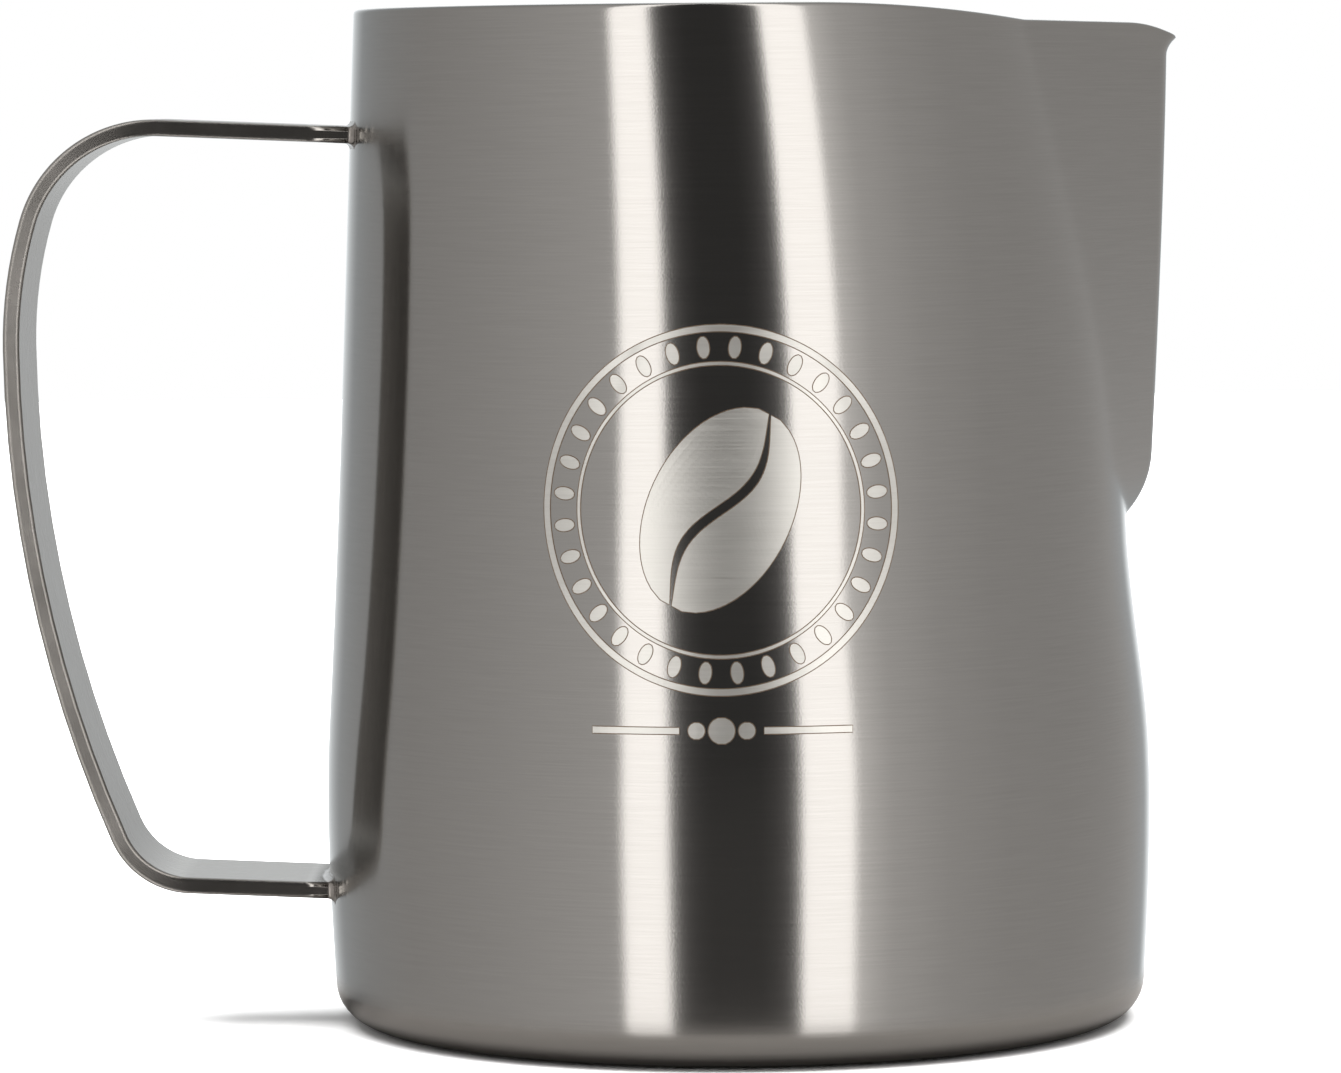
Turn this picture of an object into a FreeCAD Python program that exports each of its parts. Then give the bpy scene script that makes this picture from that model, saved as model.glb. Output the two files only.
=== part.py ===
import FreeCAD, Part
import math
import os
import Sketcher

# A milk frothing pitcher of drawn stainless sheet: a tapered cup with a spout pressed out of its
# wall, and a flat strap handle welded to the back of the wall at both ends.
# +Z is up and z = 0 is the plane that the foot stands on.  The axis of the cup is the Z axis,
# +X points at the spout and -X at the handle, and the whole pitcher is symmetric about y = 0.
# Lengths are in millimetres and angles in degrees.

DRIVING_SIZES = (
    ("jug_height", 110.0, "foot plane to the round part of the rim"),
    ("sheet_thickness", 0.9, "drawn sheet of the cup"),
    ("rim_radius", 41.15, "outer radius at the rim"),
    ("rim_taper", 0.0425, "radius gained per mm going down from the rim"),
    ("shoulder_height", 40.0, "where the taper starts to round into the belly"),
    ("shoulder_radius", 44.2, "outer radius there"),
    ("shoulder_taper", 0.055, "radius gained per mm going down there"),
    ("belly_height", 24.0, "widest level"),
    ("belly_radius", 44.89, "outer radius there"),
    ("foot_radius", 43.95, "radius of the wall carried down to z = 0, before its corner"),
    ("foot_taper", 0.062, "radius lost per mm at the foot"),
    ("corner_radius", 4.1, "outer radius of the corner between wall and foot"),
    ("recess_radius", 36.0, "underside recess at its mouth"),
    ("recess_depth", 1.0, "height of the recess above the foot plane"),
    ("recess_draft", 0.8, "how much narrower the recess is at its top"),
    ("chin_draw", 1.1, "how far the front of the wall is drawn in below the chin of the spout"),
    ("chin_draw_low", 30.0, "height where that starts"),
    ("chin_draw_full", 53.0, "height where it is reached"),
    ("rim_draw", 4.7, "how much further the front is drawn in at the rim"),
    ("rim_draw_start", 64.5, "height where that starts"),
    ("rim_draw_power", 1.86, "how it grows with height"),
    ("draw_fade_power", 3.0, "how the drawing in fades from the front round to the back"),
    ("nose_radius", 4.0, "plan radius of the spout's nose"),
    ("nose_low_x", 45.35, "nose line at the chin"),
    ("nose_high_x", 47.1, "nose line at the lip"),
    ("nose_power", 1.5, "how the nose line leans out with height"),
    ("chin_height", 62.0, "centre of the chin arc"),
    ("chin_radius", 10.75, "chin arc in the plane of symmetry"),
    ("spout_angle_low", 21.5, "plan direction that the spout's sides face at the chin, from +X"),
    ("spout_angle_high", 42.9, "the same at the rim"),
    ("spout_angle_start", 54.0, "height where that angle starts to open"),
    ("spout_angle_power", 1.15, "how it opens with height"),
    ("crease_softness", 0.35, "rounding of the valley between spout and wall"),
    ("lip_height", 106.7, "tip of the pouring lip"),
    ("lip_flare", 2.4, "how far the lip is turned out"),
    ("lip_length", 2.9, "height over which it turns out"),
    ("lip_half_angle", 18.0, "where the turned lip fades out, from +X"),
    ("rim_level_end_x", 8.0, "the rim is level behind this"),
    ("rim_crease_x", 31.0, "where the rim meets the valley of the spout"),
    ("rim_crease_height", 108.25, "rim height there"),
    ("rim_nose_x", 43.2, "where the rim starts to drop to the tip"),
    ("rim_nose_height", 108.0, "rim height there"),
    ("rim_tip_x", 48.7, "the rim's furthest point"),
    ("trim_back_x", -60.0, "block that trims the rim: back"),
    ("trim_front_x", 60.0, "block that trims the rim: front"),
    ("trim_front_height", 97.0, "its lower edge at the front, clear of the lip"),
    ("trim_top", 130.0, "its top"),
    ("strap_width", 18.0, "handle strap, across"),
    ("strap_thickness", 1.8, "handle strap"),
    ("strap_edge_radius", 0.42, "rounding of its long edges"),
    ("strap_start_x", 40.0, "strap outer face, start of the upper arm, before it is cut to the wall"),
    ("strap_start_height", 97.38, "height of that start"),
    ("strap_start_slope", 2.62, "rise of the upper arm"),
    ("strap_upper_arm", 21.92, "length of the upper arm"),
    ("strap_top_radius", 15.0, "outer radius of the upper corner"),
    ("strap_top_turn", 76.14, "its turn"),
    ("strap_back_radius", 48.5, "outer radius at the top of the grip"),
    ("strap_back_turn", 16.79, "its turn"),
    ("strap_grip_radius", 137.6, "outer radius of the long lower grip"),
    ("strap_grip_turn", 22.77, "its turn"),
    ("strap_heel_radius", 9.5, "outer radius of the lower corner"),
    ("strap_heel_turn", 64.42, "its turn"),
    ("strap_lower_arm", 18.7, "length of the lower arm, before it is cut to the wall"),
    ("strap_gap", 0.35, "gap between the strap's ends and the wall, filled by the welds"),
    ("weld_leg", 0.5, "how far a weld bead spreads round the strap on the wall"),
    ("weld_lip", 0.12, "thickness of the bead at its outer edge"),
    ("weld_reach", 1.1, "how far the bead runs out along the strap"),
    ("weld_root", 1.8, "how far its stock runs in through the wall before it is cut"),
    ("joint_reach", 5.0, "half height of the cones that follow the wall at the joints"),
    ("upper_weld_x", 41.72, "wall at the upper joint"),
    ("upper_weld_height", 96.55, "middle of the strap there"),
    ("lower_weld_x", 44.7, "wall at the lower joint"),
    ("lower_weld_height", 13.12, "middle of the strap there"),
    ("lower_arm_slope", 2.5, "rise of the lower arm towards the handle"),
)

doc = FreeCAD.newDocument("milk_frothing_pitcher")


def make_sheet():
    """The driving dimensions, one row each: name, value and meaning."""
    table = doc.addObject("Spreadsheet::Sheet", "sizes")
    for row, (alias, value, meaning) in enumerate(DRIVING_SIZES, start=1):
        table.set("A%d" % row, alias)
        table.set("B%d" % row, str(value))
        table.set("C%d" % row, meaning)
        table.setAlias("B%d" % row, alias)
    doc.recompute()
    return table


sheet = make_sheet()


def size(alias):
    """The value of one cell of the sheet."""
    return float(sheet.get(alias))


def bind(thing, **expressions):
    """Tie properties of an object to expressions of the sheet's cells."""
    for prop, expression in expressions.items():
        thing.setExpression(prop, expression)


def smooth_step(value):
    """0 below 0, 1 above 1, and a smooth rise between them."""
    value = min(max(value, 0.0), 1.0)
    return value * value * (3.0 - 2.0 * value)


def cubic_run(low, high, height):
    """A radius between two levels, each given as (height, radius, radius gained per mm up)."""
    span = high[0] - low[0]
    part = (height - low[0]) / span
    rest = 1.0 - part
    level = low[1] * rest * rest * (1.0 + 2.0 * part) + high[1] * part * part * (3.0 - 2.0 * part)
    slope = low[2] * part * rest * rest - high[2] * part * part * rest
    return level + slope * span


# ---------------------------------------------------------------- the shape of the cup's wall

def round_radius(height):
    """Outer radius of the plain round wall."""
    foot = (0.0, size("foot_radius"), size("foot_taper"))
    belly = (size("belly_height"), size("belly_radius"), 0.0)
    shoulder = (size("shoulder_height"), size("shoulder_radius"), -size("shoulder_taper"))
    rim = (size("jug_height"), size("rim_radius"), -size("rim_taper"))
    if height < belly[0]:
        return cubic_run(foot, belly, height)
    if height < shoulder[0]:
        return cubic_run(belly, shoulder, height)
    return cubic_run(shoulder, rim, height)


def drawn_in(height, side):
    """How far the wall is drawn in at a height, at a plan angle side from +X."""
    full = size("chin_draw_full") - size("chin_draw_low")
    rise = smooth_step((height - size("chin_draw_low")) / full)
    start = size("rim_draw_start")
    grown = max((height - start) / (size("jug_height") - start), 0.0)
    most = size("chin_draw") * rise + size("rim_draw") * grown ** size("rim_draw_power")
    return most * math.cos(side / 2) ** size("draw_fade_power")


def wall_radius(height, side):
    """The wall without its spout: round at the back, and drawn in more towards the front."""
    return round_radius(height) - drawn_in(height, side)


def nose_line(height):
    """How far the spout's nose stands out from the axis, in the plane of symmetry."""
    chin = size("chin_height")
    low = size("nose_low_x")
    if height < chin:
        drop = min(chin - height, size("chin_radius"))
        return low - size("chin_radius") + math.sqrt(size("chin_radius") ** 2 - drop ** 2)
    grown = (height - chin) / (size("jug_height") - chin)
    return low + (size("nose_high_x") - low) * (1.0 - (1.0 - min(grown, 1.0)) ** size("nose_power"))


def spout_radius(height, side):
    """A rounded nose between two flat sides, which fade away behind the line square to them."""
    nose = nose_line(height)
    tight = size("nose_radius")
    back = nose - tight
    start = size("spout_angle_start")
    grown = max((height - start) / (size("jug_height") - start), 0.0)
    opening = size("spout_angle_high") - size("spout_angle_low")
    angle = math.radians(size("spout_angle_low") + opening * grown ** size("spout_angle_power"))
    touch = math.atan2(tight * math.sin(angle), back + tight * math.cos(angle))
    if side < touch:
        return back * math.cos(side) + math.sqrt(tight ** 2 - (back * math.sin(side)) ** 2)
    square = back * math.cos(angle) + tight
    if side < angle:
        return square / math.cos(side - angle)
    return square * math.cos(side - angle)


def rim_height(x):
    """Height of the rim above a point of it at x."""
    level_end = size("rim_level_end_x")
    crease = size("rim_crease_x")
    if x < level_end:
        return size("jug_height")
    if x < crease:
        drop = size("jug_height") - size("rim_crease_height")
        return size("jug_height") - drop * ((x - level_end) / (crease - level_end)) ** 2
    if x < size("rim_nose_x"):
        share = (x - crease) / (size("rim_nose_x") - crease)
        return size("rim_crease_height") * (1.0 - share) + size("rim_nose_height") * share
    share = (x - size("rim_nose_x")) / (size("rim_tip_x") - size("rim_nose_x"))
    return size("rim_nose_height") - (size("rim_nose_height") - size("lip_height")) * share ** 2


def lip_flare(height, side, radius):
    """How far the lip is turned out near the rim of the spout."""
    start = rim_height(radius * math.cos(side)) - size("lip_length")
    up = min(max((height - start) / size("lip_length"), 0.0), 1.15)
    half = size("lip_half_angle")
    return size("lip_flare") * up ** 2 * smooth_step((half - math.degrees(side)) / half)


def outer_radius(height, angle):
    """Outer radius of the cup at a height, in the plan direction angle (radians) from +X."""
    side = abs(angle)
    wall = wall_radius(height, side)
    spout = spout_radius(height, side)
    soft = size("crease_softness")
    radius = 0.5 * (wall + spout + math.hypot(wall - spout, soft))
    return radius + lip_flare(height, side, radius)


def inner_radius(height, angle):
    """The same inside: the sheet's thickness in, measured square to the wall."""
    step = 0.01
    radius = outer_radius(height, angle)
    around = (outer_radius(height, angle + step) - outer_radius(height, angle - step)) / (2 * step)
    up = (outer_radius(height + step, angle) - outer_radius(height - step, angle)) / (2 * step)
    return radius - size("sheet_thickness") * math.sqrt(1.0 + (around / radius) ** 2 + up ** 2)


def plan_angles():
    """Plan directions of a half section's points, from the spout to the back: close at the nose."""
    angles = [0.0]
    while angles[-1] < 180.0:
        if angles[-1] < 9.0:
            pace = 1.5
        elif angles[-1] < 60.0:
            pace = 3.0
        else:
            pace = 6.0
        angles.append(angles[-1] + pace)
    return [math.radians(angle) for angle in angles]


def wall_levels(low):
    """Heights of the sections from low to above the rim: close at the chin and at the lip."""
    bands = ((34.0, 10.0), (50.0, 4.0), (64.0, 1.75), (100.0, 6.0), (103.0, 3.0), (113.0, 1.0))
    heights = []
    for top, pace in bands:
        count = max(1, round((top - low) / pace))
        heights += [low + (top - low) * index / count for index in range(1, count + 1)]
        low = top
    return heights


def corner_levels(low, corner):
    """Heights up a rounded corner, each with how far the corner cuts in from the wall."""
    steps = 7
    turns = [math.pi / 2 * index / steps for index in range(steps + 1)]
    return [(low + corner * (1 - math.cos(turn)), corner * (1 - math.sin(turn))) for turn in turns]


def fit_curve(points, parameters):
    """The smooth curve through points at given parameters."""
    curve = Part.BSplineCurve()
    curve.interpolate(Points=points, Parameters=parameters)
    return curve


def half_wall(stations, radius_at, across):
    """One side of the wall: smooth curves through each section, then through the sections."""
    turns = plan_angles()
    rows = []
    climb = [0.0]
    for height, inset in stations:
        points = []
        for turn in turns:
            radius = radius_at(height, turn) - inset
            y = across * radius * math.sin(turn) if 0.0 < turn < math.pi - 0.001 else 0.0
            points.append(FreeCAD.Vector(radius * math.cos(turn), y, height))
        if rows:
            climb.append(climb[-1] + points[-1].distanceToPoint(back))
        back = points[-1]
        rows.append(fit_curve(points, turns))
    columns = []
    for index in range(rows[0].NbPoles):
        columns.append(fit_curve([row.getPole(index + 1) for row in rows], climb))
    surface = Part.BSplineSurface()
    surface.buildFromPolesMultsKnots(
        [column.getPoles() for column in columns],
        rows[0].getMultiplicities(),
        columns[0].getMultiplicities(),
        rows[0].getKnots(),
        columns[0].getKnots(),
        False,
        False,
        rows[0].Degree,
        columns[0].Degree,
    )
    return surface.toShape()


def make_filled_wall(name, low, corner, radius_at):
    """A solid with the free-form wall: both sides of it, closed by flat faces at its ends."""
    stations = corner_levels(low, corner)
    stations += [(height, 0.0) for height in wall_levels(low + corner)]
    near = half_wall(stations, radius_at, -1)
    far = half_wall(stations, radius_at, 1)
    faces = [near, far]
    for height in (stations[0][0], stations[-1][0]):
        level = [edge for side in (near, far) for edge in side.Edges
                 if edge.BoundBox.ZLength < 0.001 and abs(edge.CenterOfMass.z - height) < 0.001]
        faces.append(Part.Face(Part.Wire(Part.__sortEdges__(level))))
    shell = Part.makeShell(faces)
    shell.sewShape()
    feature = doc.addObject("Part::Feature", name)
    feature.Shape = Part.makeSolid(shell)
    return feature


def add_cone(name, low, high, low_radius, high_radius):
    """A cone about the Z axis, its ends given as expressions."""
    cone = doc.addObject("Part::Cone", name)
    bind(cone, Radius1=low_radius, Radius2=high_radius, Height="(%s) - (%s)" % (high, low))
    bind(cone, **{"Placement.Base.z": low})
    return cone


def add_cut(name, base, tool):
    """Base with tool taken away."""
    cut = doc.addObject("Part::Cut", name)
    cut.Base = base
    cut.Tool = tool
    return cut


def cell(alias):
    """The expression that reads one cell."""
    return "sizes." + alias


def constrain(sketch, expression, *description):
    """Add a dimension to a sketch and drive it by an expression."""
    index = sketch.addConstraint(Sketcher.Constraint(*description))
    sketch.setExpression("Constraints[%d]" % index, expression)


def place_point(sketch, geometry, end, x_alias, y_alias):
    """Dimension one point of a sketch from the sketch's origin."""
    point = sketch.getPoint(geometry, end)
    constrain(sketch, cell(x_alias), "DistanceX", -1, 1, geometry, end, point.x)
    constrain(sketch, cell(y_alias), "DistanceY", -1, 1, geometry, end, point.y)


def make_rim_trim():
    """All that is above the rim: the side view of the rim line, closed above and run across."""
    corners = (
        ("trim_back_x", "jug_height"),
        ("rim_level_end_x", "jug_height"),
        ("rim_crease_x", "rim_crease_height"),
        ("rim_nose_x", "rim_nose_height"),
        ("rim_tip_x", "lip_height"),
        ("trim_front_x", "trim_front_height"),
        ("trim_front_x", "trim_top"),
        ("trim_back_x", "trim_top"),
    )
    curved = (1, 3)
    sketch = doc.addObject("Sketcher::SketchObject", "rim_line")
    upright = FreeCAD.Rotation(FreeCAD.Vector(1, 0, 0), 90)
    sketch.Placement = FreeCAD.Placement(FreeCAD.Vector(0, 0, 0), upright)
    points = [FreeCAD.Vector(size(x), size(z), 0) for x, z in corners]
    for index, start in enumerate(points):
        end = points[(index + 1) % len(points)]
        if index in curved:
            middle_x = (start.x + end.x) / 2
            middle = FreeCAD.Vector(middle_x, rim_height(middle_x), 0)
            sketch.addGeometry(Part.Arc(start, middle, end), False)
        else:
            sketch.addGeometry(Part.LineSegment(start, end), False)
    # An arc keeps its ends in the order that runs anticlockwise, and these two turn clockwise.
    first_end = [2 if index in curved else 1 for index in range(len(points))]
    last_end = [1 if index in curved else 2 for index in range(len(points))]
    for index, (x_alias, z_alias) in enumerate(corners):
        place_point(sketch, index, first_end[index], x_alias, z_alias)
        before = index - 1 if index else len(corners) - 1
        if index in (1, 3):
            sketch.addConstraint(
                Sketcher.Constraint("Tangent", before, last_end[before], index, first_end[index]))
        else:
            sketch.addConstraint(
                Sketcher.Constraint("Coincident", before, last_end[before], index, first_end[index]))
    block = doc.addObject("Part::Extrusion", "above_the_rim")
    block.Base = sketch
    block.DirMode = "Normal"
    block.Solid = True
    block.Symmetric = True
    bind(block, LengthFwd="2 * sizes.trim_front_x")
    return block


def make_body():
    """The cup with its spout: outer shape less its hollow, its underside recess and the trim."""
    thin = size("sheet_thickness")
    outer = make_filled_wall("outer_wall", 0.0, size("corner_radius"), outer_radius)
    inner = make_filled_wall("inner_wall", thin, size("corner_radius") - thin, inner_radius)
    raised = add_cone(
        "raised_floor",
        "0",
        "sizes.sheet_thickness + sizes.recess_depth",
        "sizes.recess_radius + sizes.sheet_thickness / 2",
        "sizes.recess_radius - sizes.recess_draft + sizes.sheet_thickness / 2",
    )
    hollow = add_cut("hollow", inner, raised)
    shell = add_cut("open_shell", outer, hollow)
    recess = add_cone(
        "underside_recess",
        "-1",
        "sizes.recess_depth",
        "sizes.recess_radius",
        "sizes.recess_radius - sizes.recess_draft",
    )
    footed = add_cut("footed_shell", shell, recess)
    return add_cut("pitcher_body", footed, make_rim_trim())


# ---------------------------------------------------------------- handle

def strap_path(body):
    """Side view of the strap's outer face: arm, four tangent arcs round the grip, and arm."""
    sketch = body.newObject("Sketcher::SketchObject", "strap_path")
    sketch.AttachmentSupport = (origin_plane(body, "XZ_Plane"), [""])
    sketch.MapMode = "FlatFace"
    arcs = ("top", "back", "grip", "heel")
    turned = math.radians(180.0 - size("strap_start_slope"))
    spot = FreeCAD.Vector(-size("strap_start_x"), size("strap_start_height"), 0)

    def run(length):
        """A straight arm from the current spot, and the spot at its end."""
        end = spot + FreeCAD.Vector(math.cos(turned), math.sin(turned), 0) * length
        sketch.addGeometry(Part.LineSegment(spot, end), False)
        return end

    spot = run(size("strap_upper_arm"))
    for name in arcs:
        radius = size("strap_%s_radius" % name)
        turn = math.radians(size("strap_%s_turn" % name))
        centre = spot + FreeCAD.Vector(-math.sin(turned), math.cos(turned), 0) * radius
        circle = Part.Circle(centre, FreeCAD.Vector(0, 0, 1), radius)
        start = turned - math.pi / 2
        sketch.addGeometry(Part.ArcOfCircle(circle, start, start + turn), False)
        turned += turn
        spot = centre + FreeCAD.Vector(math.sin(turned), -math.cos(turned), 0) * radius
    run(size("strap_lower_arm"))

    start_x = sketch.getPoint(0, 1).x
    start_z = sketch.getPoint(0, 1).y
    constrain(sketch, "-sizes.strap_start_x", "DistanceX", -1, 1, 0, 1, start_x)
    constrain(sketch, cell("strap_start_height"), "DistanceY", -1, 1, 0, 1, start_z)
    slope = math.radians(180.0 - size("strap_start_slope"))
    constrain(sketch, "(180 - sizes.strap_start_slope) * 1 deg", "Angle", 0, slope)
    constrain(sketch, cell("strap_upper_arm"), "Distance", 0, size("strap_upper_arm"))
    for index, name in enumerate(arcs, start=1):
        sketch.addConstraint(Sketcher.Constraint("Tangent", index - 1, 2, index, 1))
        radius = "strap_%s_radius" % name
        turn = "strap_%s_turn" % name
        constrain(sketch, cell(radius), "Radius", index, size(radius))
        constrain(sketch, cell(turn) + " * 1 deg", "Angle", index, math.radians(size(turn)))
    last = len(arcs) + 1
    sketch.addConstraint(Sketcher.Constraint("Tangent", last - 1, 2, last, 1))
    constrain(sketch, cell("strap_lower_arm"), "Distance", last, size("strap_lower_arm"))
    return sketch


def origin_plane(body, role):
    """One of a body's own origin planes."""
    for feature in body.Origin.OriginFeatures:
        if feature.Role == role:
            return feature
    raise RuntimeError("no plane " + role)


def strap_section(body):
    """Cross-section of the strap, its top edge on the path and its corners rounded."""
    sketch = body.newObject("Sketcher::SketchObject", "strap_section")
    sketch.AttachmentSupport = (origin_plane(body, "YZ_Plane"), [""])
    sketch.MapMode = "FlatFace"
    sketch.AttachmentOffset = FreeCAD.Placement(
        FreeCAD.Vector(0, size("strap_start_height"), -size("strap_start_x")),
        FreeCAD.Rotation(FreeCAD.Vector(1, 0, 0), 0))
    half = size("strap_width") / 2
    deep = size("strap_thickness")
    edge = size("strap_edge_radius")
    corners = ((half - edge, -edge), (-half + edge, -edge),
               (-half + edge, edge - deep), (half - edge, edge - deep))
    for index, (across, up) in enumerate(corners):
        circle = Part.Circle(FreeCAD.Vector(across, up, 0), FreeCAD.Vector(0, 0, 1), edge)
        start = index * math.pi / 2
        sketch.addGeometry(Part.ArcOfCircle(circle, start, start + math.pi / 2), False)
    for index in range(4):
        following = (index + 1) % 4
        start = sketch.getPoint(index, 2)
        end = sketch.getPoint(following, 1)
        side = sketch.addGeometry(Part.LineSegment(start, end), False)
        sketch.addConstraint(Sketcher.Constraint("Tangent", index, 2, side, 1))
        sketch.addConstraint(Sketcher.Constraint("Tangent", side, 2, following, 1))
        sketch.addConstraint(Sketcher.Constraint("Vertical" if index % 2 else "Horizontal", side))
        if index:
            sketch.addConstraint(Sketcher.Constraint("Equal", 0, index))
    constrain(sketch, cell("strap_edge_radius"), "Radius", 0, edge)
    constrain(sketch, "sizes.strap_width / 2", "DistanceX", -1, 1, 0, 1, half)
    constrain(sketch, "-sizes.strap_width / 2", "DistanceX", -1, 1, 1, 2, -half)
    constrain(sketch, "0", "DistanceY", -1, 1, 0, 2, 0.0)
    constrain(sketch, "-sizes.strap_thickness", "DistanceY", -1, 1, 3, 1, -deep)
    return sketch


def make_strap():
    """The handle: a flat strap swept round its path, its ends cut hollow to follow the wall."""
    stock = doc.addObject("PartDesign::Body", "strap_stock")
    path = strap_path(stock)
    section = strap_section(stock)
    doc.recompute()
    pipe = stock.newObject("PartDesign::AdditivePipe", "bent_strap")
    pipe.Profile = section
    pipe.Spine = path
    pipe.Mode = "Standard"
    doc.recompute()
    gap = size("strap_gap")
    upper = add_joint_cone("upper_clearance", "upper_weld_height", gap)
    lower = add_joint_cone("lower_clearance", "lower_weld_height", gap)
    upper_cut = add_cut("strap_cut_above", stock, upper)
    return add_cut("handle_strap", upper_cut, lower)


def add_joint_cone(name, height_alias, gap):
    """A short cone that follows the round wall near one joint, larger by a gap."""
    reach = size("joint_reach")
    low = size(height_alias) - reach
    cone = doc.addObject("Part::Cone", name)
    cone.Radius1 = round_radius(low) + gap
    cone.Radius2 = round_radius(low + 2 * reach) + gap
    bind(cone, Height="2 * sizes.joint_reach")
    bind(cone, **{"Placement.Base.z": cell(height_alias) + " - sizes.joint_reach"})
    return cone


def make_weld(name, x_alias, height_alias, slope, strap):
    """A bead round one end of the strap and through its gap, spread on the cup's wall."""
    bead = doc.addObject("Part::Wedge", name + "_stock")
    half = "(sizes.strap_width / 2 + %s)"
    thick = "(sizes.strap_thickness / 2 + %s)"
    leg = "sizes.weld_leg * (1 + sizes.weld_root / sizes.weld_reach)"
    bind(bead, Xmin="-" + half % leg, Xmax=half % leg)
    bind(bead, Zmin="-" + thick % leg, Zmax=thick % leg)
    bind(bead, X2min="-" + half % "sizes.weld_lip", X2max=half % "sizes.weld_lip")
    bind(bead, Z2min="-" + thick % "sizes.weld_lip", Z2max=thick % "sizes.weld_lip")
    bind(bead, Ymin="-sizes.weld_root", Ymax="sizes.weld_reach")
    across = FreeCAD.Rotation(FreeCAD.Vector(0, 0, 1), 90)
    tilt = FreeCAD.Rotation(FreeCAD.Vector(0, 1, 0), slope)
    bead.Placement = FreeCAD.Placement(
        FreeCAD.Vector(-size(x_alias), 0, size(height_alias)), tilt * across)
    bind(bead, **{
        "Placement.Base.x": "-" + cell(x_alias),
        "Placement.Base.z": cell(height_alias),
    })
    wall = add_joint_cone(name + "_wall", height_alias, 0.0)
    outside = add_cut(name + "_outside", bead, wall)
    return add_cut(name, outside, strap)


def check_and_write(nodes):
    """Stop on anything that failed, then write one file for each piece, named by its Label."""
    for thing in doc.Objects:
        if "Invalid" in thing.State or "Error" in thing.State:
            raise RuntimeError("%s failed: %s" % (thing.Name, thing.State))
    os.makedirs("parts", exist_ok=True)
    for node in nodes:
        shape = node.Shape
        if shape.isNull() or not shape.isValid() or len(shape.Solids) != 1:
            raise RuntimeError("%s is not one valid solid" % node.Label)
        shape.exportStep("parts/%s.step" % node.Label)
        box = shape.BoundBox
        print("%-20s %9.1f mm3  x %.2f..%.2f  y %.2f..%.2f  z %.2f..%.2f" % (
            node.Label, shape.Volume, box.XMin, box.XMax, box.YMin, box.YMax, box.ZMin, box.ZMax))


def main():
    body = make_body()
    strap = make_strap()
    upper_weld = make_weld(
        "upper_handle_weld", "upper_weld_x", "upper_weld_height", size("strap_start_slope"), strap)
    lower_weld = make_weld(
        "lower_handle_weld", "lower_weld_x", "lower_weld_height", -size("lower_arm_slope"), strap)
    nodes = {
        "pitcher_body": body,
        "handle_strap": strap,
        "upper_handle_weld": upper_weld,
        "lower_handle_weld": lower_weld,
    }
    for label, node in nodes.items():
        node.Label = label
    doc.recompute()
    check_and_write(nodes.values())


main()
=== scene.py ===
import math

import bpy
import numpy as np
from mathutils import Matrix, Vector


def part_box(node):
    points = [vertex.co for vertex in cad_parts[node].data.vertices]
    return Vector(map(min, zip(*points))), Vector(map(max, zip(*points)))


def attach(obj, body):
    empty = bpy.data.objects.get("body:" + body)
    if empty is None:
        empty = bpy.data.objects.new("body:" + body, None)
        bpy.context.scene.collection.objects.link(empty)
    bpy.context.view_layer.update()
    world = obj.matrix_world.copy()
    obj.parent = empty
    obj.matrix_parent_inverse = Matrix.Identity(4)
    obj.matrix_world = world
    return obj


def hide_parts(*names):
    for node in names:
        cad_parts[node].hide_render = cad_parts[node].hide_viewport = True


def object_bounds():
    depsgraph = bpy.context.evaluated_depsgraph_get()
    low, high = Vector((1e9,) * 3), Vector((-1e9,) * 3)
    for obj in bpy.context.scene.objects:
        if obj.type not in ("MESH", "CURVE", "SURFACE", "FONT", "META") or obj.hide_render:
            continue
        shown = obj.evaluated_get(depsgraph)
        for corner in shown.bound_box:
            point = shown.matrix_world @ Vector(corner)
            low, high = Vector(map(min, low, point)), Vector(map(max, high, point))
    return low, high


# A milk frothing pitcher of gunmetal-coated brushed steel: one drawn cup with a pressed spout, a
# flat strap handle and its two weld beads, and an etched coffee bean badge on the cup's side.
# Lengths in the shape formulas are in millimetres, as on a drawing, and MM turns them to metres.

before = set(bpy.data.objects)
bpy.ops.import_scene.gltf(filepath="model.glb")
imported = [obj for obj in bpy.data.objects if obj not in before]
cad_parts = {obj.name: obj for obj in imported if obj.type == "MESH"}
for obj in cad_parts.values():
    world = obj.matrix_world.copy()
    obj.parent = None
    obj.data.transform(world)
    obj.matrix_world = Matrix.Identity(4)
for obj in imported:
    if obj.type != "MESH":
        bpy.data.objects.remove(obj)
cad_low, cad_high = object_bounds()
_, body_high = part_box("pitcher_body")
strap_low, strap_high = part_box("handle_strap")

MM = 0.001
JUG_HEIGHT = body_high[2] / MM
SHEET = 0.9

# ---------------------------------------------------------------- shape of the cup's wall

FOOT = (0.0, 43.95, 0.062)                      # height, radius, radius gained per mm up
BELLY = (24.0, 44.89, 0.0)
SHOULDER = (40.0, 44.2, -0.055)
RIM = (JUG_HEIGHT, 41.15, -0.0425)
CORNER = 4.1                                    # outer radius between wall and foot
RECESS = 36.0                                   # underside recess: radius at its mouth
RECESS_DEPTH = 1.0
RECESS_DRAFT = 0.8
CHIN_DRAW = 1.1                                 # front of the wall drawn in by the chin's height
CHIN_DRAW_LEVELS = (30.0, 53.0)                 # between these heights
RIM_DRAW = 4.7                                  # and how much further at the rim
RIM_DRAW_START = 64.5
RIM_DRAW_POWER = 1.86                           # how that grows with height
DRAW_FADE_POWER = 3.0                           # how both fade round to the back
NOSE_TIGHT = 4.0                                # plan radius of the nose
NOSE_LINE = (45.35, 47.1)                       # nose line's x at the chin and at the rim's level
NOSE_POWER = 1.5
CHIN_HEIGHT = 62.0
CHIN_RADIUS = 10.75
SPOUT_ANGLES = (math.radians(21.5), math.radians(42.9))    # of its flat sides, low and high
SPOUT_START = 54.0
SPOUT_POWER = 1.15
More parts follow.
